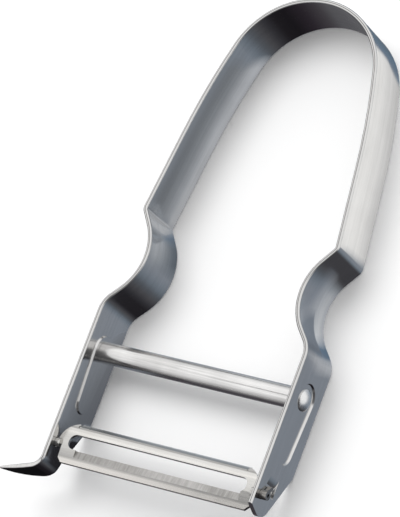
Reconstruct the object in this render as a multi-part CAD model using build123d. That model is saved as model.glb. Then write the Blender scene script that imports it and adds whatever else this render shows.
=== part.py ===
"""Stainless steel bow peeler: a strip bent into a handle, a spacer tube on a through rivet, a swivel blade.

The origin is the middle of the strip's lower edge at the crown of the bow. +X runs to the right arm,
+Y from the blade to the crown, +Z up, and the peeler lies on the lower edges of its strip.
All lengths are in millimetres and all angles in degrees.
"""
from build123d import *

import os
from math import cos, degrees, radians, sin, tan

# Strip that the bow is bent from
strip_width = 15.0
strip_thickness = 1.2
strip_edge_break = 0.3

# Bow, along the middle of the strip's thickness
crown_radius = 20.8
crown_side_angle = 15.3
side_radius = 178.0
side_lean_angle = 7.06
side_straight = 21.8
shoulder_bend = 1.8
grip_length = 25.45
waist_half = 18.45
waist_rise_share = 0.487
grip_bend_share = 0.566
mouth_half = 29.4
mouth_bend = 6.4

# Ends of the arms, seen from the side: a taper at the back and a slanted front that meet in a round nose
taper_drop = 28.3
taper_angle = 29.0
nose_front_drop = 40.1
nose_front_angle = 20.7
nose_radius = 4.0
cut_overrun = 2.0

# Tongue on the left arm, for eyes in potatoes
tongue_drop = 41.3
tongue_bend = 3.5
tongue_bend_angle = 70.0
tongue_curve = 45.0
tongue_length = 8.9
tongue_root_width = 7.9
tongue_root_bend = 6.0
tongue_edge_curve = 20.0
tongue_tip_thickness = 0.4
tongue_thinning_length = 7.0

# Panel pressed into each arm round the rivet
panel_depth = 0.45
panel_top_radius = 4.2
panel_end_radius = 2.9
panel_length = 13.8
press_draft = 35.0

# Spacer tube and through rivet
tube_drop = 11.1
tube_diameter = 5.5
tube_bore = 3.3
rivet_diameter = 3.0
rivet_hole_clearance = 0.05
rivet_head_diameter = 5.5
rivet_head_rim = 0.3
rivet_head_dome = 0.9

# Pivot of the blade in the arms: rolled ends of the blade, open at their tips
pivot_drop = 36.9
pivot_from_front = 2.8
pivot_diameter = 2.4
pivot_running_clearance = 0.08
pivot_reach = 1.9
short_pivot_reach = 0.6
pivot_bore = 0.9
pivot_bore_length = 1.6
pivot_root_overlap = 1.0
pivot_slit = 0.15

# Stop pocket coined into each arm, as distances from the pivot's axis
pocket_depth = 0.7
pocket_draft = 15.0
pocket_ramp_length = 2.4
pocket_near_top = (2.3, -0.6)
pocket_far_top = (5.6, -1.4)
pocket_far_back = (5.6, -6.0)
pocket_near_back = (0.7, -6.0)
pocket_near_front = (0.4, -2.2)

# Stop tail on the right pivot
tail_angle = -46.0
tail_length = 3.7
tail_width = 1.0
tail_thickness = 0.8
tail_round = 0.45
tail_lift = 0.2
tail_tooth_length = 0.9
tail_tooth_clearance = 0.25

# Blade, in its own plane: across the arms, and up towards the bow from the pivot's axis
blade_thickness = 0.8
blade_tilt = -8.0
blade_end_clearance = 0.4
guard_top = 5.8
guard_fold_height = 5.0
guard_corner = 4.9
flange_end_margin = 4.1
flange_width = 1.7
flange_angle = 45.0
slot_top = 2.9
slot_bottom = -1.0
slot_end_margin = 2.9
slot_corner = 1.8
crease_height = -0.35
cutter_bottom = -4.65
cutter_tilt = 13.0
cutter_left_inset = 1.4
cutter_right_inset = 0.3
ear_chamfer = 1.1
bevel_width = 1.9
bevel_edge_thickness = 0.1
bevel_left_margin = 2.8
bevel_right_margin = 0.8
relief_diameter = 0.7
relief_depth = 0.25

# Places that follow from the sizes above
arm_outer = mouth_half + strip_thickness / 2
arm_inner = mouth_half - strip_thickness / 2
panel_floor = arm_outer - panel_depth
panel_crest = arm_inner - panel_depth
blade_half = arm_inner - blade_end_clearance
slot_half = blade_half - slot_end_margin
flange_half = blade_half - flange_end_margin
pivot_radius = pivot_diameter / 2
pivot_tip = arm_outer + pivot_reach
short_pivot_tip = arm_outer + short_pivot_reach


def direction(angle):
    """Unit vector in the XY plane at an angle from +X."""
    return Vector(cos(radians(angle)), sin(radians(angle)))


def side_arc_end():
    """Lower end of the long side arc, where the side runs on straight."""
    crown_centre = Vector(0, -crown_radius)
    side_centre = crown_centre + direction(crown_side_angle) * (crown_radius - side_radius)
    return side_centre + direction(side_lean_angle) * side_radius


shoulder = side_arc_end() + direction(side_lean_angle - 90) * side_straight
mouth_y = shoulder.Y - grip_length
tube_y = mouth_y - tube_drop
tube_z = strip_width / 2
pivot_y = mouth_y - pivot_drop
pivot_z = strip_width - pivot_from_front


def half_bow(end_y):
    """Edges of the bow's middle line from the crown down the right side to an end."""
    crown = CenterArc((0, -crown_radius), crown_radius, 90, crown_side_angle - 90)
    side = JernArc(crown @ 1, crown % 1, side_radius, side_lean_angle - crown_side_angle)
    grip = FilletPolyline(
        side @ 1,
        shoulder,
        (waist_half, mouth_y + waist_rise_share * grip_length),
        (mouth_half, mouth_y),
        (mouth_half, end_y),
        radius=[shoulder_bend, grip_bend_share * grip_length, mouth_bend],
    )
    return crown.edges() + side.edges() + grip.edges()


def tongue_bend_line():
    """Outward bend at the left arm's end."""
    return JernArc((-mouth_half, mouth_y - tongue_drop), (0, -1), tongue_bend, -tongue_bend_angle)


def tongue_line():
    """Gently hollow line from the bend to the tongue's tip."""
    bend = tongue_bend_line()
    return JernArc(bend @ 1, bend % 1, tongue_curve, -degrees(tongue_length / tongue_curve))


def nose_corner():
    """Point where the nose's slanted front and the taper would meet, seen from the side."""
    taper = radians(taper_angle)
    front = radians(nose_front_angle)
    height = strip_width - (nose_front_drop - taper_drop) * tan(taper)
    slant = height / (cos(front) + sin(front) * tan(taper))
    return Vector(mouth_y - nose_front_drop - slant * sin(front), strip_width - slant * cos(front))


def strip():
    """Bent strip with its sharp edges broken, before its ends are cut, as thick and wide as the stock."""
    right = half_bow(nose_corner().X)
    left = [edge.mirror(Plane.YZ) for edge in half_bow(mouth_y - tongue_drop)]
    tongue = [tongue_bend_line().edge(), tongue_line().edge()]
    middle = Wire(tongue + left + list(right))
    outline = middle.offset_2d(strip_thickness / 2, side=Side.BOTH)
    body = extrude(make_face(outline.edges()), strip_width)
    levels = body.edges().group_by(Axis.Z)
    return chamfer(levels[0] + levels[-1], strip_edge_break)


def side_plane(x):
    """Plane across the arms at x, with local X along +Y and local Y along +Z."""
    return Plane(origin=(x, 0, 0), x_dir=(0, 1, 0), z_dir=(1, 0, 0))


def taper_start():
    """Point on the taper's line just below the strip's lower edge."""
    return Vector(mouth_y - taper_drop + cut_overrun / tan(radians(taper_angle)), -cut_overrun)


def right_end_cut():
    """What the taper and the round nose take off the right arm."""
    corner = nose_corner()
    front_y = mouth_y - nose_front_drop + cut_overrun * tan(radians(nose_front_angle))
    end = FilletPolyline(taper_start(), corner, (front_y, strip_width + cut_overrun), radius=nose_radius)
    far_y = corner.X - cut_overrun
    border = Polyline(end @ 1, (far_y, (end @ 1).Y), (far_y, (end @ 0).Y), end @ 0)
    face = side_plane(0) * make_face(end.edges() + border.edges())
    return extrude(face, arm_outer + cut_overrun)


def left_end_cut():
    """What the same taper takes off the left arm, down to the tongue's root."""
    root_z = strip_width - tongue_root_width
    start = taper_start()
    along = direction(180 - taper_angle)
    corner = start + along * ((root_z - start.Y) / along.Y)
    far_y = nose_corner().X - tongue_length - tongue_bend
    edge = FilletPolyline(start, corner, (far_y, root_z), radius=tongue_root_bend)
    border = Polyline(edge @ 1, (far_y, start.Y), start)
    face = side_plane(0) * make_face(edge.edges() + border.edges())
    return extrude(face, -(arm_outer + tongue_length + tongue_bend))


def tongue_edge_cut():
    """Curved rear edge that draws the tongue to a point at the strip's upper edge."""
    tip = tongue_line() @ 1
    root = (-mouth_half, strip_width - tongue_root_width)
    edge = RadiusArc(root, (tip.X, strip_width), tongue_edge_curve)
    far_x = tip.X - cut_overrun
    border = Polyline(
        edge @ 1,
        (tip.X, strip_width + cut_overrun),
        (far_x, strip_width + cut_overrun),
        (far_x, -cut_overrun),
        (-mouth_half, -cut_overrun),
        edge @ 0,
    )
    plane = Plane(origin=(0, mouth_y - tongue_drop, 0), x_dir=(1, 0, 0), z_dir=(0, -1, 0))
    face = plane * make_face(edge.edges() + border.edges())
    return extrude(face, tongue_bend + tongue_length + cut_overrun)


def tongue_thinning_cut():
    """Wedge off the tongue's far face, so that its tip is thin."""
    middle = tongue_line()
    start = middle @ (1 - tongue_thinning_length / tongue_length)
    tip = middle @ 1
    along = middle % 1
    away = along.rotate(Axis.Z, -90)
    near_tip = tip + away * (tongue_tip_thickness - strip_thickness / 2)
    outline = Polyline(
        start + away * strip_thickness / 2,
        near_tip,
        near_tip + along * cut_overrun,
        near_tip + along * cut_overrun + away * cut_overrun,
        start + away * cut_overrun,
        close=True,
    )
    return extrude(make_face(outline.edges()), strip_width)


def panel_outline(x):
    """Tapered oblong of the pressed panel, on a plane across the arm at x."""
    around_rivet = Pos(tube_y, tube_z) * Circle(panel_top_radius)
    around_end = Pos(tube_y - panel_length, tube_z) * Circle(panel_end_radius)
    return side_plane(x) * make_hull(around_rivet.edges() + around_end.edges())


def pressed(outline, depth, draft):
    """Drafted plug that a press tool leaves, reaching inwards from its outline."""
    return extrude(outline, depth, dir=(-1, 0, 0), taper=draft)


def pocket_outline():
    """Outline of the stop pocket on the right arm's outer face."""
    corners = [pocket_near_top, pocket_far_top, pocket_far_back, pocket_near_back, pocket_near_front]
    outline = Polyline(*corners, close=True)
    return side_plane(arm_outer) * Pos(pivot_y, pivot_z) * make_face(outline.edges())


def stop_pocket():
    """Pocket on the right arm that curves down from its far side towards the pivot."""
    far_y = pivot_y + pocket_far_top[0]
    floor_x = arm_outer - pocket_depth
    ramp_radius = (pocket_ramp_length**2 + pocket_depth**2) / (2 * pocket_depth)
    ramp = RadiusArc((arm_outer, far_y), (floor_x, far_y - pocket_ramp_length), ramp_radius)
    border = Polyline(ramp @ 1, (floor_x, far_y), ramp @ 0)
    kept = extrude(make_face(ramp.edges() + border.edges()), strip_width)
    return pressed(pocket_outline(), pocket_depth, pocket_draft) - kept


def rod(diameter, x_start, x_end, y, z):
    """Round bar across the arms from one x to another."""
    face = side_plane(x_start) * Pos(y, z) * Circle(diameter / 2)
    return extrude(face, x_end - x_start)


def both_sides(solid):
    """A right-hand feature with its mirror image on the left."""
    return [solid, solid.mirror(Plane.YZ)]


def bow():
    """Handle and arms in one strip, with their pressed panels, holes, pockets and tongue."""
    body = strip() - right_end_cut() - left_end_cut() - tongue_edge_cut() - tongue_thinning_cut()
    crest = pressed(panel_outline(arm_inner), panel_depth, press_draft)
    recess = pressed(panel_outline(arm_outer), panel_depth, press_draft)
    rivet_hole = rod(rivet_diameter + 2 * rivet_hole_clearance, panel_crest - cut_overrun,
                     arm_outer + cut_overrun, tube_y, tube_z)
    pivot_hole = rod(pivot_diameter + 2 * pivot_running_clearance, arm_inner - cut_overrun,
                     arm_outer + cut_overrun, pivot_y, pivot_z)
    body += both_sides(crest)
    for cut in (recess, stop_pocket(), rivet_hole, pivot_hole):
        body -= both_sides(cut)
    return body


def spacer_tube():
    """Tube that holds the arms apart, between the crests of the two panels."""
    tube = rod(tube_diameter, -panel_crest, panel_crest, tube_y, tube_z)
    return tube - rod(tube_bore, -panel_crest, panel_crest, tube_y, tube_z)


def rivet_head():
    """Domed head with a short straight rim, on the floor of the right arm's panel."""
    radius = rivet_head_diameter / 2
    rim_x = panel_floor + rivet_head_rim
    dome_x = rim_x + rivet_head_dome
    dome_radius = (radius**2 + rivet_head_dome**2) / (2 * rivet_head_dome)
    dome = RadiusArc((rim_x, radius), (dome_x, 0), dome_radius)
    border = Polyline(dome @ 1, (panel_floor, 0), (panel_floor, radius), dome @ 0)
    face = make_face(dome.edges() + border.edges())
    return Pos(0, tube_y, tube_z) * revolve(face, Axis.X)


def through_rivet():
    """Rivet through the arms and the tube, with its two heads."""
    shank = rod(rivet_diameter, -panel_floor, panel_floor, tube_y, tube_z)
    return shank + both_sides(rivet_head())


def blade_plane():
    """The blade's own plane: X across the arms, Y up the guard, Z out of its front face."""
    tilt = radians(blade_tilt)
    return Plane(origin=(0, pivot_y, pivot_z), x_dir=(1, 0, 0), z_dir=(0, -sin(tilt), cos(tilt)))


def leg_front(height):
    """Place of the cutter leg's front face below the crease, as it leans back."""
    return blade_thickness / 2 - (crease_height - height) * tan(radians(cutter_tilt))


def profile_bar(points, half_length):
    """Bar across the blade with a section given by points of height and depth."""
    section = Plane.YZ * make_face(Polyline(*points, close=True).edges())
    return extrude(section, half_length, both=True)


def sheet():
    """Blade stock creased at the pivot's axis, before it is cut to its outline."""
    front = blade_thickness / 2
    points = [
        (guard_top, front),
        (crease_height, front),
        (cutter_bottom, leg_front(cutter_bottom)),
        (cutter_bottom, leg_front(cutter_bottom) - blade_thickness),
        (crease_height, -front),
        (guard_top, -front),
    ]
    return profile_bar(points, blade_half)


def side_outline(ear_half):
    """Corners down one side of the blade, from the cutter's lower edge to the guard's top."""
    return [
        (ear_half - ear_chamfer, cutter_bottom),
        (ear_half, cutter_bottom + ear_chamfer),
        (ear_half, crease_height),
        (blade_half, crease_height),
        (blade_half, guard_top),
    ]


def blade_outline():
    """Plan of the blade: a guard with round shoulders over a narrower cutter with chamfered ears."""
    right = side_outline(blade_half - cutter_right_inset)
    left = [(-x, height) for x, height in reversed(side_outline(blade_half - cutter_left_inset))]
    face = make_face(Polyline(*right, *left, close=True).edges())
    shoulders = face.vertices().group_by(Axis.Y)[-1]
    return extrude(fillet(shoulders, guard_corner), guard_top, both=True)


def slot():
    """Slot between the guard and the cutting edge that peelings pass through."""
    height = slot_top - slot_bottom
    face = Pos(0, (slot_top + slot_bottom) / 2) * RectangleRounded(2 * slot_half, height, slot_corner)
    return extrude(face, guard_top, both=True)


def guard_flange():
    """Flange folded back along the guard's top, with the flat guard above the fold to be removed."""
    front = blade_thickness / 2
    fold = Vector(guard_fold_height, front)
    along = direction(-flange_angle) * flange_width
    across = direction(-flange_angle - 90) * blade_thickness
    inside = guard_fold_height - blade_thickness * tan(radians(flange_angle / 2))
    flange = profile_bar([fold, fold + along, fold + along + across, (inside, -front), (inside, front)],
                         flange_half)
    flat = profile_bar([(guard_fold_height, -cut_overrun), (guard_fold_height, cut_overrun),
                        (guard_top + cut_overrun, cut_overrun), (guard_top + cut_overrun, -cut_overrun)],
                       flange_half)
    return flange, flat


def bevel():
    """Ground bevel that thins the cutter to its edge along the slot."""
    foot = slot_bottom - bevel_width
    edge_front = leg_front(slot_bottom) - blade_thickness + bevel_edge_thickness
    rise = (edge_front - leg_front(foot)) / bevel_width
    top = slot_bottom + cut_overrun
    points = [(foot, leg_front(foot)), (top, leg_front(foot) + rise * (top - foot)), (top, cut_overrun),
              (foot, cut_overrun)]
    section = Plane.YZ * make_face(Polyline(*points, close=True).edges())
    left = slot_half - bevel_left_margin
    right = slot_half - bevel_right_margin
    return Pos(-left, 0, 0) * extrude(section, left + right)


def relief():
    """Punch marks at the ends of the folded flange."""
    mark = Pos(flange_half, guard_fold_height, blade_thickness / 2 - relief_depth)
    hole = mark * extrude(Circle(relief_diameter / 2), blade_thickness)
    return both_sides(hole)


def tail():
    """Flat tail on the right pivot whose tooth swings between the ends of the stop pocket."""
    x_low = arm_outer + tail_lift
    x_floor = arm_outer - pocket_depth + tail_tooth_clearance
    arm = Pos(tail_length / 2, 0) * Rectangle(tail_length, tail_width)
    arm = fillet(arm.vertices().group_by(Axis.X)[-1], tail_round)
    tooth = Pos(tail_length - tail_tooth_length / 2, 0) * Rectangle(tail_tooth_length, tail_width)
    tooth = fillet(tooth.vertices().group_by(Axis.X)[-1], tail_round)
    turn = Pos(pivot_y, pivot_z) * Rot(0, 0, tail_angle)
    arm_solid = extrude(side_plane(x_low) * turn * arm, tail_thickness)
    tooth_solid = extrude(side_plane(x_floor) * turn * tooth, x_low + tail_thickness - x_floor)
    return arm_solid + tooth_solid


def roll(tip):
    """Rolled end of the blade through the right arm's hole, out to its tip."""
    return rod(pivot_diameter, blade_half - pivot_root_overlap, tip, pivot_y, pivot_z)


def roll_bore(tip):
    """Open middle of a roll that ends at a tip."""
    return rod(pivot_bore, tip - pivot_bore_length, tip + cut_overrun, pivot_y, pivot_z)


def tailed_pivot():
    """Long pivot on the right, with its stop tail and the slit of its roll."""
    turn = Pos(pivot_y, pivot_z) * Rot(0, 0, tail_angle - 90)
    gap = Pos(pivot_radius, 0) * Rectangle(pivot_diameter, pivot_slit)
    slit = extrude(side_plane(arm_outer + tail_lift + tail_thickness) * turn * gap, pivot_reach)
    return roll(pivot_tip) + tail() - roll_bore(pivot_tip) - slit


def short_pivot():
    """Pivot on the left, which ends just past the arm."""
    return (roll(short_pivot_tip) - roll_bore(short_pivot_tip)).mirror(Plane.YZ)


def blade():
    """Swivel blade in one piece: guard, slot, ground cutter, rolled pivots and stop tail."""
    flange, flat = guard_flange()
    body = (sheet() & blade_outline()) - flat + flange
    body = body - slot() - bevel() - relief()
    return blade_plane() * body + tailed_pivot() + short_pivot()


def main():
    os.makedirs("parts", exist_ok=True)
    export_step(bow(), "parts/bow.step")
    export_step(spacer_tube(), "parts/spacer_tube.step")
    export_step(through_rivet(), "parts/through_rivet.step")
    export_step(blade(), "parts/blade.step")


main()
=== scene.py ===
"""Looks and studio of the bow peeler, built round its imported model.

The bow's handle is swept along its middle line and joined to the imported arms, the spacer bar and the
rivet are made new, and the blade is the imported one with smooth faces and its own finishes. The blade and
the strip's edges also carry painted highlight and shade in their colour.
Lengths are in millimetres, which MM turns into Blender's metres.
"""

from math import atan2, ceil, cos, pi, radians, sin, tan

import bmesh
import bpy
from mathutils import Matrix, Vector


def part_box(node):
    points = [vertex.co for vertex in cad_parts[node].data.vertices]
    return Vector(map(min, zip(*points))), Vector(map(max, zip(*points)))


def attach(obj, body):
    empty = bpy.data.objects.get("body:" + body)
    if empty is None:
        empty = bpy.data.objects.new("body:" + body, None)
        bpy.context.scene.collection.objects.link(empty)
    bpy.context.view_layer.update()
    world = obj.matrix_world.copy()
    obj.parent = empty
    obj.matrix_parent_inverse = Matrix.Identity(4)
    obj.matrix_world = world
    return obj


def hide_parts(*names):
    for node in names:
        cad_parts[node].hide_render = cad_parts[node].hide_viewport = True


# Metres in a millimetre, and the distance in millimetres within which points are the same one
MM = 0.001
MERGE = 0.002

# Camera of the photograph, found from the strip's edges
CAMERA_PLACE = (444.163, -284.894, 747.324)
CAMERA_RIGHT = (0.840442, 0.345047, -0.417850)
CAMERA_UP = (-0.184643, 0.907280, 0.377822)
FOCAL_LENGTHS_PER_HEIGHT = 3628.1 / 517
SENSOR_WIDTH = 36.0

# Strip that the bow is bent from, and the bow along the middle of its thickness
STRIP_WIDTH = 15.0
STRIP_THICKNESS = 1.2
EDGE_BREAK = 0.3
CROWN_RADIUS = 20.8
CROWN_SIDE_ANGLE = 15.3
SIDE_RADIUS = 178.0
SIDE_LEAN_ANGLE = 7.06
SIDE_STRAIGHT = 21.8
SHOULDER_BEND = 1.8
GRIP_LENGTH = 25.45
WAIST_HALF = 18.45
WAIST_RISE = 0.487 * GRIP_LENGTH
GRIP_BEND = 0.566 * GRIP_LENGTH
MOUTH_HALF = 29.4
MOUTH_BEND = 6.4
ARM_JOIN_DROP = 5.0
ARC_STEP = radians(2.0)

# Angles at which the strip's edges are sharp: a smaller one for the arms' pressed forms, which lie further
# than ARM_TOP from the crown and more than PRESSED_MARGIN inside the strip's long edges
STRIP_SHARP_ANGLE = radians(60)
PRESSED_SHARP_ANGLE = radians(18)
ARM_TOP = 91.5
PRESSED_MARGIN = 1.5 * EDGE_BREAK

# Meshes: faces closer in angle than this are one, a cut takes in points this near, and the weight that
# keeps wide faces flat in the shading
FLAT_ANGLE = radians(0.3)
CUT_REACH = MERGE / 10
WIDE_FACE_WEIGHT = 100

# Spacer bar, and the rivet with a dome of height HEAD_DOME on each head's rim
BAR_DIAMETER = 5.5
BAR_BORE = 3.3
BAR_EDGE = 0.12
BAR_SIDES = 96
BAR_EDGE_STEPS = 3
SHANK_DIAMETER = 3.0
RIVET_SIDES = 64
HEAD_RIM = 0.3
HEAD_DOME = 0.9
HEAD_EDGE = 0.08
DOME_STEPS = 14
POLE_RADIUS = MERGE / 4
TURNED_SHARP_ANGLE = radians(40)

# Blade: its edges are sharp past the first angle, and past the second where both faces are wide. The faces
# of its bevel lean by BEVEL_LEAN, and a painted shade darkens its pivots from their root outwards
BLADE_SHARP_ANGLE = radians(25)
BLADE_CREASE_ANGLE = radians(5)
BLADE_WIDE_AREA = 10.0
BEVEL_LEAN = radians(15.8)
BEVEL_LEAN_ALLOWANCE = radians(2)
BLADE_PIVOT = (0, -124.3878, 12.2)
BLADE_LEAN = radians(8)
PIVOT_SHADE_ROOT = 28.6
PIVOT_SHADE_FADE = 0.6
PIVOT_SHADE_TONE = "#93918F"

# Haze of the steels: fine and broad streaks of one grain and patches of wear, and the part of their mix
# over which roughness and tint run from one end to the other
BROAD_SCALE = 0.17
BROAD_SHARE = 0.4
PATCH_SIZE = 8.0
PATCH_SHARE = 0.35
HAZE_SPREAD = (0.38, 0.62)

# Painted shade line along the middle of the strip's long edges, in place of their dark mirror image:
# distances from its middle and down from the edge over which it fades, and its tone
EDGE_SHADE_FADE = (0.04, 0.18)
EDGE_SHADE_DROP = (0.2, 0.1)
EDGE_SHADE_TONE = "#A8A8A8"

# The blade's tones by height over its pivots, along its own lean: partly its own finish and partly painted
# light, with painted shade lines near the fold and a painted highlight along its top
BLADE_LIGHT_BANDS = [
    (-4.65, "#DCD9D5"), (-4.3, "#DEDBD8"), (-3.65, "#DAD7D4"), (-3.4, "#C3C1BF"), (-3.15, "#B0AFAD"),
    (-2.9, "#AEADAC"), (-1.0, "#C8C7C5"), (2.9, "#D6D5D3"), (3.4, "#E6E4E1"), (3.9, "#DAD8D6"),
    (4.4, "#D4D3D1"), (4.6, "#A6A5A4"), (4.85, "#A6A5A4"), (5.2, "#BCBCBB"), (5.5, "#B4B4B4"),
    (5.8, "#D4D4D3"), (6.1, "#FAFAF9"),
]

# Light tent: its wall turns white with height, from the foot up, and BACK_TURN is where the slower rise
# of the front gives way to that of the back. All three run along the axes of the direction that is seen
TENT_LEVEL = 1.12
BACK_TURN = (-0.3, 0.3)
BACK_RISE = (-0.83, 0.45)
FRONT_RISE = (-0.45, 0.8)
FRONT_SLOWNESS = 1.4

# Paper, lamp and cards: LAMP_BACK is the way from what the lamp lights to the lamp
FLOOR_DROP = 0.1
FLOOR_RADIUS = 12000.0
FLOOR_SIDES = 64
LAMP_SIZE = 800.0
LAMP_POWER = 5.0
LAMP_PLACE = (-300.0, 350.0, 1000.0)
LAMP_BACK = (-0.3, 0.42, 1.0)
CARD_HEIGHT = -0.05
CARD_STEP = 1.5
CARD_LEVEL = 1.2

# Dark and bright places in the tent's wall: the way to each, the angles from it at which the place begins
# and is full, its strength and its tone
ROOM = [
    ((0.527, -0.628, 0.574), 50, 25, 0.85, "#2A2A2E"),
    ((0.961, 0.256, -0.102), 42, 20, 1.0, "#FFFFFF"),
]

# What stands round the foot of the light tent: compass angle from +X, and its tone in the steel
TENT_FOOT = [
    (-180, "#5F5F63"),
    (-147, "#5C5C60"),
    (-129, "#474449"),
    (-104, "#2F2A31"),
    (-80, "#1D1B1F"),
    (-62, "#222024"),
    (-49, "#38383D"),
    (-37, "#505054"),
    (-25, "#5A5F66"),
    (-13, "#717B86"),
    (0, "#828B96"),
    (14, "#8B929C"),
    (25, "#89909A"),
    (42, "#949CA5"),
    (60, "#929CA7"),
    (80, "#80909F"),
    (96, "#6D7B8D"),
    (108, "#667A8E"),
    (122, "#5C6E7E"),
    (145, "#626A72"),
    (158, "#58595C"),
    (180, "#5F5F63"),
]


def colour(hex_code):
    """Linear colour with full alpha from an sRGB hex code."""
    parts = [int(hex_code[i:i + 2], 16) / 255 for i in (1, 3, 5)]
    return [c / 12.92 if c <= 0.04045 else ((c + 0.055) / 1.055) ** 2.4 for c in parts] + [1.0]


def add(tree, kind, inputs=None, **settings):
    """A node of that kind, with its settings, and its inputs set to values or linked to sockets."""
    made = tree.nodes.new(kind)
    for name, value in settings.items():
        setattr(made, name, value)
    for name, value in (inputs or {}).items():
        if isinstance(value, bpy.types.NodeSocket):
            tree.links.new(value, made.inputs[name])
        else:
            made.inputs[name].default_value = value
    return made


def maths(tree, operation, *values):
    """Result of a math node on values or sockets."""
    return add(tree, "ShaderNodeMath", dict(enumerate(values)), operation=operation).outputs[0]


def rescale(tree, value, source, target=(0.0, 1.0), **settings):
    """Value that runs over the target while the given one runs over the source."""
    limits = {"From Min": source[0], "From Max": source[1], "To Min": target[0], "To Max": target[1]}
    return add(tree, "ShaderNodeMapRange", {"Value": value, **limits}, **settings).outputs[0]


def mix(tree, share, first, second, data_type="RGBA", **settings):
    """Mix of two colours, or of two numbers if data_type is FLOAT."""
    both = {"Factor": share, "A": first, "B": second}
    return add(tree, "ShaderNodeMix", both, data_type=data_type, **settings).outputs["Result"]


def fill_ramp(node, stops):
    """Gives a colour ramp its stops of place and hex code."""
    elements = node.color_ramp.elements
    while len(elements) < len(stops):
        elements.new(0.5)
    for element, (place, code) in zip(elements, stops):
        element.position = place
        element.color = colour(code)


def place_in_scene(name, data):
    """New object in the scene."""
    made = bpy.data.objects.new(name, data)
    bpy.context.scene.collection.objects.link(made)
    return made


# Studio


def make_camera():
    """Camera at the photograph's place and angle."""
    right = Vector(CAMERA_RIGHT)
    up = Vector(CAMERA_UP)
    data = bpy.data.cameras.new("photo_camera")
    data.sensor_width = SENSOR_WIDTH
    data.lens = SENSOR_WIDTH * FOCAL_LENGTHS_PER_HEIGHT
    camera = place_in_scene("photo_camera", data)
    turn = Matrix((right, up, right.cross(up))).transposed().to_4x4()
    camera.matrix_world = Matrix.Translation(Vector(CAMERA_PLACE) * MM) @ turn
    bpy.context.scene.camera = camera


def make_floor():
    """Plain white paper under the peeler, kept out of the steel's mirror image."""
    mesh = bpy.data.meshes.new("floor")
    shape = bmesh.new()
    bmesh.ops.create_circle(shape, cap_ends=True, segments=FLOOR_SIDES, radius=FLOOR_RADIUS * MM)
    bmesh.ops.translate(shape, verts=shape.verts, vec=(0, 0, -FLOOR_DROP * MM))
    shape.to_mesh(mesh)
    shape.free()
    material = bpy.data.materials.new("white_paper")
    material.use_nodes = True
    shader = material.node_tree.nodes["Principled BSDF"]
    shader.inputs["Base Color"].default_value = colour("#FAFAFA")
    shader.inputs["Roughness"].default_value = 1.0
    shader.inputs["Specular IOR Level"].default_value = 0.0
    mesh.materials.append(material)
    floor = place_in_scene("floor", mesh)
    floor.visible_glossy = False


def make_world():
    """Light tent: bright overhead, behind and at the right, darker round its foot and by the camera."""
    world = bpy.data.worlds.new("light_tent")
    bpy.context.scene.world = world
    world.use_nodes = True
    tree = world.node_tree
    tree.nodes.clear()
    direction = add(tree, "ShaderNodeTexCoord").outputs["Generated"]
    axes = add(tree, "ShaderNodeSeparateXYZ", {"Vector": direction}).outputs
    turn = maths(tree, "ARCTAN2", axes["Y"], axes["X"])
    foot = add(tree, "ShaderNodeValToRGB", {"Fac": rescale(tree, turn, (-pi, pi))})
    fill_ramp(foot, [((angle + 180) / 360, code) for angle, code in TENT_FOOT])
    at_back = rescale(tree, axes["Y"], BACK_TURN, interpolation_type="SMOOTHSTEP")
    back_rise = rescale(tree, axes["Z"], BACK_RISE)
    front_rise = maths(tree, "POWER", rescale(tree, axes["Z"], FRONT_RISE), FRONT_SLOWNESS)
    rise = mix(tree, at_back, front_rise, back_rise, "FLOAT")
    wall = mix(tree, rise, foot.outputs["Color"], colour("#FFFFFF"))
    for way, rim, heart, strength, code in ROOM:
        facing = add(tree, "ShaderNodeVectorMath", {0: direction, 1: way}, operation="DOT_PRODUCT")
        place = rescale(tree, facing.outputs["Value"], (cos(radians(rim)), cos(radians(heart))),
                        (0.0, strength), interpolation_type="SMOOTHSTEP")
        wall = mix(tree, place, wall, colour(code))
    tent = add(tree, "ShaderNodeBackground", {"Color": wall, "Strength": TENT_LEVEL})
    add(tree, "ShaderNodeOutputWorld", {"Surface": tent.outputs[0]})


def make_lamp():
    """Soft lamp overhead that lifts the paper to white without a glint in the steel."""
    data = bpy.data.lights.new("overhead_lamp", "AREA")
    data.shape = "DISK"
    data.size = LAMP_SIZE * MM
    data.energy = LAMP_POWER
    lamp = place_in_scene("overhead_lamp", data)
    lamp.location = Vector(LAMP_PLACE) * MM
    lamp.rotation_euler = Vector(LAMP_BACK).to_track_quat("Z", "Y").to_euler()
    lamp.visible_glossy = False


def card_material():
    """Paper card that glows in its own tones and thins out towards its ends."""
    material = bpy.data.materials.new("bounce_card")
    material.use_nodes = True
    tree = material.node_tree
    tree.nodes.clear()
    tone = add(tree, "ShaderNodeAttribute", attribute_name="tone")
    glow = add(tree, "ShaderNodeEmission", {"Color": tone.outputs["Color"], "Strength": CARD_LEVEL})
    clear = add(tree, "ShaderNodeBsdfTransparent")
    card = add(tree, "ShaderNodeMixShader",
               {0: tone.outputs["Alpha"], 1: clear.outputs[0], 2: glow.outputs[0]})
    add(tree, "ShaderNodeOutputMaterial", {"Surface": card.outputs[0]})
    return material


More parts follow.
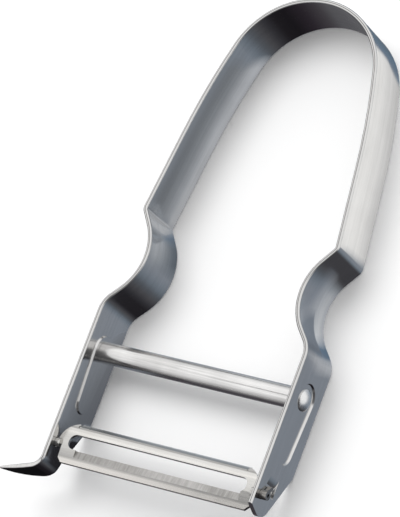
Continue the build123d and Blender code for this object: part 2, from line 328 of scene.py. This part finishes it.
# Cards that lie beside the strip: name, 1 for the bow's right half and its outer face or -1 for the left
# half and its inner face, height, the length over which the ends thin out, and rows of distance from the
# face, start and end along the strip from the crown, first and last tone, and cover
CARDS = [
    ("handle_card", 1, CARD_HEIGHT, 2.0, [
        (0.1, 24.0, 73.6, "#CCCCCC", "#D6D6D6", 1), (0.6, 22.6, 73.5, "#CCCCCC", "#D6D6D6", 1),
        (1.3, 20.8, 73.1, "#D6D6D6", "#E8E8E8", 1), (1.9, 19.0, 72.8, "#DADADA", "#E4E4E4", 1),
        (2.6, 16.0, 72.4, "#DEDEDE", "#EFEFEE", 1), (3.9, 14.2, 71.5, "#E4E4E4", "#F7F7F6", 1),
        (6.4, 12.5, 70.4, "#F1F1F0", "#FBFBFA", 1), (18.0, 8.0, 70.0, "#FFFFFE", "#FFFFFE", 1)]),
    ("handle_inner_card", -1, CARD_HEIGHT, 4.0, [
        (0.0, 22.0, 77.0, "#B4B8BE", "#B4B7BB", 1), (1.6, 23.0, 76.5, "#B8BCC2", "#B1B4B8", 1),
        (2.6, 24.0, 75.0, "#B4B8BE", "#9CA1A7", 1), (4.8, 26.0, 76.0, "#8B9096", "#888D93", 1),
        (8.0, 26.0, 76.0, "#797E84", "#6C7177", 1), (12.0, 26.0, 76.0, "#797E84", "#6C7177", 0)]),
    ("grip_inner_card", -1, CARD_HEIGHT, 4.0, [
        (0.0, 76.0, 89.0, "#656D76", "#5A626B", 1), (1.5, 76.0, 89.0, "#6F7780", "#646C75", 1),
        (5.0, 74.5, 88.0, "#B2B6BC", "#7F878F", 1), (8.0, 74.5, 88.0, "#BEC2C7", "#9AA0A6", 1),
        (12.0, 75.0, 88.0, "#B9BDC2", "#9AA0A6", 0)]),
    ("grip_card", 1, CARD_HEIGHT, 4.0, [
        (0.0, 80.0, 98.0, "#9EA3AA", "#C0C4CA", 1), (0.6, 80.0, 98.0, "#A4A9B0", "#BEC2C8", 1),
        (1.3, 80.0, 97.0, "#ACB1B7", "#D2D5D9", 1), (2.6, 80.0, 95.0, "#A4AAB1", "#BCC0C6", 1),
        (4.0, 79.0, 95.0, "#9CA2AA", "#989EA6", 1), (5.5, 79.0, 95.0, "#838B96", "#838B96", 1),
        (8.0, 79.0, 95.0, "#838B96", "#838B96", 0)]),
    ("mouth_card", 1, CARD_HEIGHT, 2.0, [
        (0.0, 100.5, 106.0, "#B4B8BE", "#B4B8BE", 1), (4.5, 100.0, 106.0, "#B0B4BA", "#B0B4BA", 1),
        (7.0, 99.0, 105.0, "#A4A8AE", "#A4A8AE", 1), (10.0, 98.0, 104.0, "#A4A8AE", "#A4A8AE", 0)]),
    ("arm_inner_card", -1, CARD_HEIGHT, 5.0, [
        (0.0, 107.0, 139.0, "#7A7E85", "#5E6269", 1), (2.0, 108.0, 139.0, "#7C8087", "#5E6269", 1),
        (5.0, 113.0, 139.0, "#858A91", "#60656C", 1), (12.0, 113.0, 139.0, "#858A91", "#60656C", 0)]),
    ("arm_foot_card", -1, CARD_HEIGHT, 4.0, [
        (0.0, 134.0, 154.0, "#26262A", "#26262A", 1), (9.0, 134.0, 154.0, "#26262A", "#26262A", 1),
        (13.0, 134.0, 154.0, "#26262A", "#26262A", 0)]),
    ("grip_upper_card", 1, 5.6, 2.5, [
        (0.25, 89.0, 103.0, "#838B96", "#6C737D", 1), (5.0, 87.0, 103.0, "#838B96", "#6C737D", 1),
        (8.0, 87.0, 103.0, "#838B96", "#6C737D", 0)]),
]

# Dark level cards, over the peeler's left side and before its tongue: name, height, tone, and their places
# across and along, each with its cover
DARK_CARDS = [
    ("shade_card", 181.0, "#303033",
     [(-128, 0), (-101, 0.15), (-89, 0.35), (-83, 0.55), (-77, 0.72), (-70, 0.8), (-45, 0.8), (-35, 0)],
     [(-136, 0), (-126, 1), (-102, 1), (-95, 0)]),
    ("tongue_card", CARD_HEIGHT, "#121214",
     [(-56, 0), (-50, 1), (-31, 1), (-29, 0)], [(-152, 0), (-146, 1), (-134.5, 1), (-133, 0)]),
]


def make_card(name, points, row, shades, material):
    """Card from rows of points, with a tone and a cover at each."""
    mesh = bpy.data.meshes.new(name)
    faces = [(a, a + 1, a + row + 1, a + row) for a in range(len(points) - row) if (a + 1) % row]
    mesh.from_pydata([Vector(p) * MM for p in points], [], faces)
    tone = mesh.attributes.new("tone", "FLOAT_COLOR", "POINT")
    tone.data.foreach_set("color", [c for shade in shades for c in shade])
    mesh.materials.append(material)
    card = place_in_scene(name, mesh)
    card.visible_camera = card.visible_diffuse = card.visible_shadow = False


def beside_strip(line, side, height, fade, rows):
    """Points and shades of a card whose rows follow the strip."""
    steps = ceil(max(end - start for _, start, end, *_ in rows) / CARD_STEP)
    points, shades = [], []
    for i in range(steps + 1):
        for away, start, end, first, last, cover in rows:
            along = start + (end - start) * i / steps
            middle, outward = at_length(line, along)
            spot = middle + outward * side * (STRIP_THICKNESS / 2 + away)
            points.append((side * spot.x, spot.y, height))
            thin = min(1.0, (along - start) / fade, (end - along) / fade)
            tone = Vector(colour(first)).lerp(Vector(colour(last)), i / steps)
            shades.append([*tone[:3], cover * thin])
    return points, shades


def make_cards(line):
    """Cards that only their mirror image in the steel shows."""
    material = card_material()
    for name, side, height, fade, rows in CARDS:
        points, shades = beside_strip(line, side, height, fade, rows)
        make_card(name, points, len(rows), shades, material)
    for name, height, code, across, along in DARK_CARDS:
        points = [(x, y, height) for y, _ in along for x, _ in across]
        shades = [colour(code)[:3] + [wide * long] for _, long in along for _, wide in across]
        make_card(name, points, len(across), shades, material)


# Middle line of the bow


def turned(angle):
    """Way of length 1 at an angle from +X."""
    return Vector((cos(angle), sin(angle)))


def arc(centre, radius, start, end):
    """Points of an arc, both ends included."""
    count = max(3, ceil(abs(end - start) / ARC_STEP))
    return [centre + turned(start + (end - start) * i / count) * radius for i in range(count + 1)]


def rounded_corner(before, corner, after, radius):
    """Points of the arc that rounds a corner of a line."""
    back = (before - corner).normalized()
    on = (after - corner).normalized()
    half = back.angle(on) / 2
    centre = corner + (back + on).normalized() * (radius / sin(half))
    start = corner + back * (radius / tan(half)) - centre
    end = corner + on * (radius / tan(half)) - centre
    first = atan2(start.y, start.x)
    return arc(centre, radius, first, first - start.angle_signed(end))


def half_middle_line():
    """Middle line of the bow's right half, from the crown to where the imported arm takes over."""
    crown_centre = Vector((0, -CROWN_RADIUS))
    crown_end = radians(CROWN_SIDE_ANGLE)
    lean = radians(SIDE_LEAN_ANGLE)
    side_centre = crown_centre + turned(crown_end) * (CROWN_RADIUS - SIDE_RADIUS)
    points = arc(crown_centre, CROWN_RADIUS, pi / 2, crown_end)
    points += arc(side_centre, SIDE_RADIUS, crown_end, lean)[1:]
    side_end = points[-1]
    shoulder = side_end + turned(lean - pi / 2) * SIDE_STRAIGHT
    mouth_y = shoulder.y - GRIP_LENGTH
    waist = Vector((WAIST_HALF, mouth_y + WAIST_RISE))
    mouth = Vector((MOUTH_HALF, mouth_y))
    join = Vector((MOUTH_HALF, mouth_y - ARM_JOIN_DROP))
    points += rounded_corner(side_end, shoulder, waist, SHOULDER_BEND)
    points += rounded_corner(shoulder, waist, mouth, GRIP_BEND)
    points += rounded_corner(waist, mouth, join, MOUTH_BEND)
    points.append(join)
    return points


def at_length(line, length):
    """Point of the right half at a length from the crown, and the direction away from the bow there.

    Past the line's end it runs on straight."""
    left = length
    for start, end in zip(line, line[1:]):
        run = (end - start).length
        if left <= run:
            break
        left -= run
    on = (end - start).normalized()
    if left > run:
        return end + on * (left - run), Vector((-on.y, on.x))
    return start + on * left, Vector((-on.y, on.x))


# Meshes


def settle(piece):
    """Turns what the modifiers make into the piece's plain mesh, and takes them off."""
    bpy.context.view_layer.update()
    evaluated = piece.evaluated_get(bpy.context.evaluated_depsgraph_get())
    mesh = bpy.data.meshes.new_from_object(evaluated)
    piece.modifiers.clear()
    piece.data = mesh
    mesh.name = piece.name


def line_piece(name, points):
    """Piece of edges through points in millimetres, for a Geometry Nodes tree to work on."""
    mesh = bpy.data.meshes.new(name)
    edges = [(i, i + 1) for i in range(len(points) - 1)]
    mesh.from_pydata([Vector(p) * MM for p in points], edges, [])
    return place_in_scene(name, mesh)


def sized_tree(name, sizes):
    """Empty Geometry Nodes tree with a named input for each size, and its input sockets."""
    tree = bpy.data.node_groups.new(name, "GeometryNodeTree")
    tree.interface.new_socket("Geometry", in_out="INPUT", socket_type="NodeSocketGeometry")
    tree.interface.new_socket("Geometry", in_out="OUTPUT", socket_type="NodeSocketGeometry")
    for size in sizes:
        tree.interface.new_socket(size, in_out="INPUT", socket_type="NodeSocketFloat")
    return tree, add(tree, "NodeGroupInput").outputs


def end_tree(tree, shape, material):
    """Ends a tree in real geometry with its material."""
    real = add(tree, "GeometryNodeRealizeInstances", {"Geometry": shape})
    dressed = add(tree, "GeometryNodeSetMaterial", {"Geometry": real.outputs[0], "Material": material})
    add(tree, "NodeGroupOutput", {"Geometry": dressed.outputs[0]})


def grow(piece, tree, sizes):
    """Runs a tree on a piece with its sizes in millimetres, and keeps the result as its plain mesh."""
    modifier = piece.modifiers.new(tree.name, "NODES")
    modifier.node_group = tree
    for socket in tree.interface.items_tree:
        if socket.in_out == "INPUT" and socket.name in sizes:
            modifier[socket.identifier] = sizes[socket.name] * MM
    settle(piece)


def packed_shape(node):
    """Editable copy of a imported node, merged along the triangles' edges."""
    shape = bmesh.new()
    shape.from_mesh(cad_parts[node].data)
    bmesh.ops.remove_doubles(shape, verts=shape.verts, dist=MERGE * MM)
    return shape


def join_flat_faces(shape):
    """Joins the triangles that lie in one plane."""
    bmesh.ops.dissolve_limit(shape, angle_limit=FLAT_ANGLE, verts=shape.verts, edges=shape.edges)


def smooth_faces(piece, is_sharp):
    """Smooth faces that stay flat where they are wide, and break at the edges that are sharp."""
    shape = bmesh.new()
    shape.from_mesh(piece.data)
    for face in shape.faces:
        face.smooth = True
    for edge in shape.edges:
        edge.smooth = len(edge.link_faces) == 2 and not is_sharp(edge)
    shape.to_mesh(piece.data)
    shape.free()
    weighted = piece.modifiers.new("weighted", "WEIGHTED_NORMAL")
    weighted.keep_sharp = True
    weighted.weight = WIDE_FACE_WEIGHT
    settle(piece)


def sharper_than(angle):
    """Test for edges whose faces meet at more than the angle."""
    return lambda edge: edge.calc_face_angle() > angle


# Pieces


def strip_tree(material):
    """Sweeps the strip's section, with its broken edges, along the bow's middle line."""
    tree, size = sized_tree("bent_strip", ["Width", "Thickness", "Edge break"])
    path = add(tree, "GeometryNodeMeshToCurve", {"Mesh": size["Geometry"]})
    level = add(tree, "GeometryNodeSetCurveNormal", {"Curve": path.outputs[0]}, mode="Z_UP")
    section = add(tree, "GeometryNodeCurvePrimitiveQuadrilateral",
                  {"Width": size["Thickness"], "Height": size["Width"]})
    broken = add(tree, "GeometryNodeFilletCurve",
                 {"Curve": section.outputs[0], "Radius": size["Edge break"], "Count": 1}, mode="POLY")
    strip = add(tree, "GeometryNodeCurveToMesh",
                {"Curve": level.outputs[0], "Profile Curve": broken.outputs[0]})
    end_tree(tree, strip.outputs[0], material)
    return tree


def is_strip_break(edge):
    """Whether an edge is one where the strip is cut or creased, or the rim of a pressed form."""
    up = abs((edge.verts[0].co.z + edge.verts[1].co.z) / 2 / MM - STRIP_WIDTH / 2)
    pressed = up < STRIP_WIDTH / 2 - PRESSED_MARGIN and edge.verts[0].co.y < -ARM_TOP * MM
    return edge.calc_face_angle() > (PRESSED_SHARP_ANGLE if pressed else STRIP_SHARP_ANGLE)


def is_section_corner(point):
    """Whether a point of the cut arms is a corner of the strip's section."""
    across = abs(abs(point.x) / MM - MOUTH_HALF)
    up = abs(point.z / MM - STRIP_WIDTH / 2)
    half = STRIP_THICKNESS / 2
    top = STRIP_WIDTH / 2
    corners = [(half, top - EDGE_BREAK), (half - EDGE_BREAK, top)]
    return any(abs(across - a) + abs(up - b) < 2 * MERGE for a, b in corners)


def packed_arms(join_y):
    """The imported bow's arms below the join, cut to the strip's section there."""
    shape = packed_shape("bow")
    parts = [*shape.verts, *shape.edges, *shape.faces]
    bmesh.ops.bisect_plane(shape, geom=parts, dist=CUT_REACH * MM, plane_co=(0, join_y * MM, 0),
                           plane_no=(0, 1, 0), clear_outer=True)
    on_cut = [v for v in shape.verts if abs(v.co.y - join_y * MM) < MERGE * MM]
    bmesh.ops.dissolve_verts(shape, verts=[v for v in on_cut if not is_section_corner(v.co)])
    join_flat_faces(shape)
    return shape


def make_bow(line, material):
    """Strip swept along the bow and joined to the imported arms, with their panels, pockets and tongue."""
    left = [Vector((-p.x, p.y)) for p in reversed(line[1:])]
    bow = line_piece("bow_strip", [(p.x, p.y, STRIP_WIDTH / 2) for p in left + line])
    grow(bow, strip_tree(material),
         {"Width": STRIP_WIDTH, "Thickness": STRIP_THICKNESS, "Edge break": EDGE_BREAK})
    shape = packed_arms(line[-1].y)
    shape.from_mesh(bow.data)
    bmesh.ops.remove_doubles(shape, verts=shape.verts, dist=MERGE * MM)
    bmesh.ops.recalc_face_normals(shape, faces=shape.faces)
    for face in shape.faces:
        face.material_index = 0
    mark_strip(shape, line)
    shape.to_mesh(bow.data)
    shape.free()
    smooth_faces(bow, is_strip_break)
    return bow


def mark_strip(shape, line):
    """Gives each point its length along the strip from the crown, and its depth from the middle line."""
    along = shape.verts.layers.float.new("along")
    across = shape.verts.layers.float.new("across")
    lengths = [0.0]
    for start, end in zip(line, line[1:]):
        lengths.append(lengths[-1] + (end - start).length)
    for vert in shape.verts:
        spot = Vector((abs(vert.co.x), vert.co.y)) / MM
        side = 1 if vert.co.x > 0 else -1
        if spot.y < line[-1].y:
            vert[along] = side * (lengths[-1] + line[-1].y - spot.y)
            vert[across] = spot.x - MOUTH_HALF
            continue
        near = min(range(len(line) - 1), key=lambda i: ((line[i] + line[i + 1]) / 2 - spot).length)
        run = line[near + 1] - line[near]
        away = spot - line[near]
        vert[along] = side * (lengths[near] + away.dot(run.normalized()))
        vert[across] = away.dot(Vector((-run.y, run.x)).normalized())


def bar_tree(material, middle):
    """Sweeps a tube's wall, with eased edges, round the axis and lays it across the arms."""
    tree, size = sized_tree("spacer_bar", ["Length", "Diameter", "Bore", "Edge"])
    total = maths(tree, "ADD", size["Diameter"], size["Bore"])
    gap = maths(tree, "SUBTRACT", size["Diameter"], size["Bore"])
    ring = add(tree, "GeometryNodeCurvePrimitiveCircle",
               {"Resolution": BAR_SIDES, "Radius": maths(tree, "DIVIDE", total, 4.0)})
    section = add(tree, "GeometryNodeCurvePrimitiveQuadrilateral",
                  {"Width": maths(tree, "DIVIDE", gap, 2.0), "Height": size["Length"]})
    eased = add(tree, "GeometryNodeFilletCurve",
                {"Curve": section.outputs[0], "Radius": size["Edge"], "Count": BAR_EDGE_STEPS},
                mode="POLY")
    tube = add(tree, "GeometryNodeCurveToMesh",
               {"Curve": ring.outputs[0], "Profile Curve": eased.outputs[0]})
    laid = add(tree, "GeometryNodeTransform",
               {"Geometry": tube.outputs[0], "Rotation": (0, pi / 2, 0), "Translation": middle})
    end_tree(tree, laid.outputs[0], material)
    return tree


def make_bar(material):
    """Spacer bar between the crests of the arms' panels."""
    low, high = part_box("spacer_tube")
    bar = line_piece("spacer_bar", [(0, 0, 0), (1, 0, 0)])
    grow(bar, bar_tree(material, (low + high) / 2),
         {"Length": (high.x - low.x) / MM, "Diameter": BAR_DIAMETER, "Bore": BAR_BORE, "Edge": BAR_EDGE})
    smooth_faces(bar, sharper_than(TURNED_SHARP_ANGLE))
    return bar


def head_outline(radius):
    """Outline of a rivet head from its seat to the top of its dome: height and radius."""
    foot = radius - HEAD_EDGE
    dome_radius = (foot**2 + HEAD_DOME**2) / (2 * HEAD_DOME)
    sunk = dome_radius - HEAD_DOME
    widest = atan2(foot, sunk)
    outline = [(0.0, radius), (HEAD_RIM - HEAD_EDGE, radius)]
    for i in range(DOME_STEPS + 1):
        angle = widest * (1 - i / DOME_STEPS)
        outline.append((HEAD_RIM + dome_radius * cos(angle) - sunk, dome_radius * sin(angle)))
    return outline


def rivet_tree(material, middle):
    """Turns a head's outline round its axis, sets one on each end of the grip, and adds the shank."""
    tree, size = sized_tree("domed_rivet", ["Grip", "Shank diameter", "Merge"])
    axis = add(tree, "GeometryNodeMeshToCurve", {"Mesh": size["Geometry"]})
    width = add(tree, "GeometryNodeInputNamedAttribute", {"Name": "width"}, data_type="FLOAT")
    circle = add(tree, "GeometryNodeCurvePrimitiveCircle", {"Resolution": RIVET_SIDES, "Radius": 1.0})
    head = add(tree, "GeometryNodeCurveToMesh",
               {"Curve": axis.outputs[0], "Profile Curve": circle.outputs[0],
                "Scale": width.outputs[0], "Fill Caps": True})
    start = add(tree, "ShaderNodeCombineXYZ", {"X": maths(tree, "DIVIDE", size["Grip"], 2.0)})
    back = add(tree, "ShaderNodeCombineXYZ", {"X": maths(tree, "MULTIPLY", size["Grip"], -1.0)})
    seats = add(tree, "GeometryNodeMeshLine",
                {"Count": 2, "Start Location": start.outputs[0], "Offset": back.outputs[0]})
    index = add(tree, "GeometryNodeInputIndex").outputs[0]
    turn = add(tree, "ShaderNodeCombineXYZ", {"Z": maths(tree, "MULTIPLY", index, pi)})
    heads = add(tree, "GeometryNodeInstanceOnPoints",
                {"Points": seats.outputs[0], "Instance": head.outputs[0], "Rotation": turn.outputs[0]})
    shank = add(tree, "GeometryNodeMeshCylinder",
                {"Vertices": RIVET_SIDES, "Depth": size["Grip"],
                 "Radius": maths(tree, "DIVIDE", size["Shank diameter"], 2.0)})
    laid = add(tree, "GeometryNodeTransform", {"Geometry": shank.outputs[0], "Rotation": (0, pi / 2, 0)})
    both = add(tree, "GeometryNodeJoinGeometry", {"Geometry": heads.outputs[0]})
    tree.links.new(laid.outputs[0], both.inputs["Geometry"])
    real = add(tree, "GeometryNodeRealizeInstances", {"Geometry": both.outputs[0]})
    poled = add(tree, "GeometryNodeMergeByDistance",
                {"Geometry": real.outputs[0], "Distance": size["Merge"]})
    moved = add(tree, "GeometryNodeTransform", {"Geometry": poled.outputs[0], "Translation": middle})
    end_tree(tree, moved.outputs[0], material)
    return tree


def make_rivet(material):
    """Rivet: a shank through arms and bar, with the same domed head set on each end."""
    low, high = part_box("through_rivet")
    outline = head_outline((high.y - low.y) / 2 / MM)
    rivet = line_piece("rivet", [(height, 0, 0) for height, _ in outline])
    widths = rivet.data.attributes.new("width", "FLOAT", "POINT")
    widths.data.foreach_set("value", [max(width, POLE_RADIUS) * MM for _, width in outline])
    grip = (high.x - low.x) / MM - 2 * (HEAD_RIM + HEAD_DOME)
    grow(rivet, rivet_tree(material, (low + high) / 2),
         {"Grip": grip, "Shank diameter": SHANK_DIAMETER, "Merge": MERGE})
    smooth_faces(rivet, sharper_than(TURNED_SHARP_ANGLE))
    return rivet


def is_blade_edge(edge):
    """Whether an edge of the blade is cut sharp, or a crease or fold between two wide faces."""
    angle = edge.calc_face_angle()
    wide = all(face.calc_area() > BLADE_WIDE_AREA * MM**2 for face in edge.link_faces)
    return angle > BLADE_SHARP_ANGLE or (wide and angle > BLADE_CREASE_ANGLE)


def make_blade(satin, ground):
    """Packed blade with smooth faces, in satin steel with a ground bevel."""
    shape = packed_shape("blade")
    join_flat_faces(shape)
    blade = place_in_scene("swivel_blade", bpy.data.meshes.new("swivel_blade"))
    shape.to_mesh(blade.data)
    shape.free()
    blade.data.materials.append(satin)
    blade.data.materials.append(ground)
    out_of_bevel = Vector((0, sin(BEVEL_LEAN), cos(BEVEL_LEAN)))
    for face in blade.data.polygons:
        face.material_index = int(face.normal.angle(out_of_bevel) < BEVEL_LEAN_ALLOWANCE)
    smooth_faces(blade, is_blade_edge)
    return blade


# Finishes


def noise(tree, place, scale, detail):
    """Noise between 0 and 1 over a place."""
    inputs = {"Vector": place, "Scale": scale, "Detail": detail}
    return add(tree, "ShaderNodeTexNoise", inputs).outputs["Fac"]


def steel(name, light, dark, roughness, grain, grain_depth, position=None, painted_light=None):
    """Stainless steel with a grain drawn out along its own directions, and soft patches of wear.

    light and dark are its two tints, and roughness goes with them. grain is the size of its streaks in
    millimetres along the three axes of the position, and the last argument makes a colour of painted
    highlight and shade that multiplies the tint."""
    material = bpy.data.materials.new(name)
    material.use_nodes = True
    tree = material.node_tree
    shader = tree.nodes["Principled BSDF"]
    shader.inputs["Metallic"].default_value = 1.0
    place = add(tree, "ShaderNodeTexCoord").outputs["Object"]
    spot = position(tree) if position else place
    unit = 1.0 if position else MM
    streak = add(tree, "ShaderNodeVectorMath", {0: spot, 1: [1 / (g * unit) for g in grain]},
                 operation="MULTIPLY").outputs[0]
    fine = noise(tree, streak, 1.0, 3.0)
    broad = noise(tree, streak, BROAD_SCALE, 1.0)
    patch = noise(tree, place, 1 / (PATCH_SIZE * MM), 2.0)
    grain_haze = mix(tree, BROAD_SHARE, fine, broad, "FLOAT")
    haze = mix(tree, PATCH_SHARE, grain_haze, patch, "FLOAT")
    dull_or_shaded = rescale(tree, haze, HAZE_SPREAD, roughness)
    tone = mix(tree, rescale(tree, haze, HAZE_SPREAD), colour(light), colour(dark))
    # Painted highlight and shade, where given, multiply the tint
    if painted_light:
        tone = mix(tree, 1.0, tone, painted_light(tree), blend_type="MULTIPLY")
    bump = add(tree, "ShaderNodeBump", {"Strength": 1.0, "Distance": grain_depth * MM, "Height": fine})
    tree.links.new(tone, shader.inputs["Base Color"])
    tree.links.new(dull_or_shaded, shader.inputs["Roughness"])
    tree.links.new(bump.outputs[0], shader.inputs["Normal"])
    return material


def strip_position(tree):
    """Length along the strip, height across its width, and depth through its thickness, in millimetres."""
    along = add(tree, "ShaderNodeAttribute", attribute_name="along").outputs["Fac"]
    across = add(tree, "ShaderNodeAttribute", attribute_name="across").outputs["Fac"]
    spot = add(tree, "ShaderNodeTexCoord").outputs["Object"]
    height = add(tree, "ShaderNodeSeparateXYZ", {"Vector": spot}).outputs["Z"]
    up = maths(tree, "MULTIPLY", height, 1 / MM)
    return add(tree, "ShaderNodeCombineXYZ", {"X": along, "Y": up, "Z": across}).outputs[0]


def strip_edge_shade(tree):
    """Painted shade line along the middle of the strip's two long edges, between their corners."""
    axes = add(tree, "ShaderNodeSeparateXYZ", {"Vector": strip_position(tree)}).outputs
    depth = maths(tree, "ABSOLUTE", axes["Z"])
    in_middle = rescale(tree, depth, EDGE_SHADE_FADE, (1.0, 0.0), interpolation_type="SMOOTHSTEP")
    off = maths(tree, "ABSOLUTE", maths(tree, "SUBTRACT", axes["Y"], STRIP_WIDTH / 2))
    on_edge = rescale(tree, off, [STRIP_WIDTH / 2 - drop for drop in EDGE_SHADE_DROP])
    dull_or_shaded = maths(tree, "MULTIPLY", in_middle, on_edge)
    return mix(tree, dull_or_shaded, colour("#FFFFFF"), colour(EDGE_SHADE_TONE))


def blade_light_bands(tree):
    """Tones of the blade from its cutting edge up to the folded flange, partly its own finish and partly
    painted highlight and shade, and the painted shade on its pivots.
    """
    across = (0, cos(BLADE_LEAN) / MM, -sin(BLADE_LEAN) / MM)
    start = Vector(BLADE_PIVOT).dot(across) * MM
    spot = add(tree, "ShaderNodeTexCoord").outputs["Object"]
    reach = add(tree, "ShaderNodeVectorMath", {0: spot, 1: across}, operation="DOT_PRODUCT")
    low, high = BLADE_LIGHT_BANDS[0][0], BLADE_LIGHT_BANDS[-1][0]
    share = rescale(tree, reach.outputs["Value"], (start + low, start + high))
    ramp = add(tree, "ShaderNodeValToRGB", {"Fac": share})
    fill_ramp(ramp, [((height - low) / (high - low), code) for height, code in BLADE_LIGHT_BANDS])
    sideways = add(tree, "ShaderNodeSeparateXYZ", {"Vector": spot}).outputs["X"]
    out = maths(tree, "ABSOLUTE", sideways)
    # Painted shade that darkens the rolled pivots
    pivot_shade = rescale(tree, out, (PIVOT_SHADE_ROOT * MM, (PIVOT_SHADE_ROOT + PIVOT_SHADE_FADE) * MM))
    return mix(tree, pivot_shade, ramp.outputs["Color"], colour(PIVOT_SHADE_TONE))


def finish_piece(piece, body, node):
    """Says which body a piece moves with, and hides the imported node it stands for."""
    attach(piece, body)
    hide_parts(node)


def main():
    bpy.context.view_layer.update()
    bpy.context.scene.view_settings.view_transform = "Standard"
    line = half_middle_line()
    make_camera()
    make_floor()
    make_world()
    make_lamp()
    make_cards(line)
    # Stainless strip polished on a belt along its length: clear but softly drawn-out mirror images, and a
    # painted shade line along the middle of its long edges
    strip_steel = steel("belt_polished_strip_steel", "#D6D5D4", "#CBCAC9", (0.10, 0.19), (25, 0.45, 0.45),
                        0.0005, strip_position, strip_edge_shade)
    # Stainless tube drawn through a die: fine lines along it that spread its highlight round the bar
    bar_steel = steel("drawn_tube_steel", "#E9E8E7", "#CDCCCB", (0.15, 0.27), (14, 0.22, 0.22), 0.0008)
    # Stainless rivet pressed cold in a die: a clean satin skin with soft, bright lights on its dome
    rivet_steel = steel("pressed_rivet_steel", "#EDEDED", "#E0E0E0", (0.22, 0.32), (0.5, 0.5, 0.5), 0.0004)
    # Rolled blade steel, tumbled after hardening: warm satin with the faintest grain along the blade,
    # under painted bands of highlight and shade by height and painted shade on its pivots
    satin = steel("satin_blade_steel", "#FFFFFE", "#F7F6F4", (0.18, 0.27), (6, 0.3, 0.3), 0.0005,
                  painted_light=blade_light_bands)
    # Bevel ground across on a fine wheel: dull grey of close upright lines, 0.06 mm wide and in bundles of
    # about 0.35 mm
    ground = steel("ground_bevel_steel", "#C4C2C0", "#94928F", (0.34, 0.46), (0.06, 3, 3), 0.002)
    finish_piece(make_bow(line, strip_steel), "frame", "bow")
    finish_piece(make_bar(bar_steel), "frame", "spacer_tube")
    finish_piece(make_rivet(rivet_steel), "frame", "through_rivet")
    finish_piece(make_blade(satin, ground), "blade", "blade")


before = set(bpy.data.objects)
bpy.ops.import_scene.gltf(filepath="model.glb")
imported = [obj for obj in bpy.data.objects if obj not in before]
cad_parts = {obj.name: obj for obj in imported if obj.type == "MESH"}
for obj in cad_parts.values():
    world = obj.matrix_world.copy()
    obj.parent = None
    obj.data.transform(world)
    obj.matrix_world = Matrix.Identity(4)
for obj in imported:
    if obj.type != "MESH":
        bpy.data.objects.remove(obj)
main()
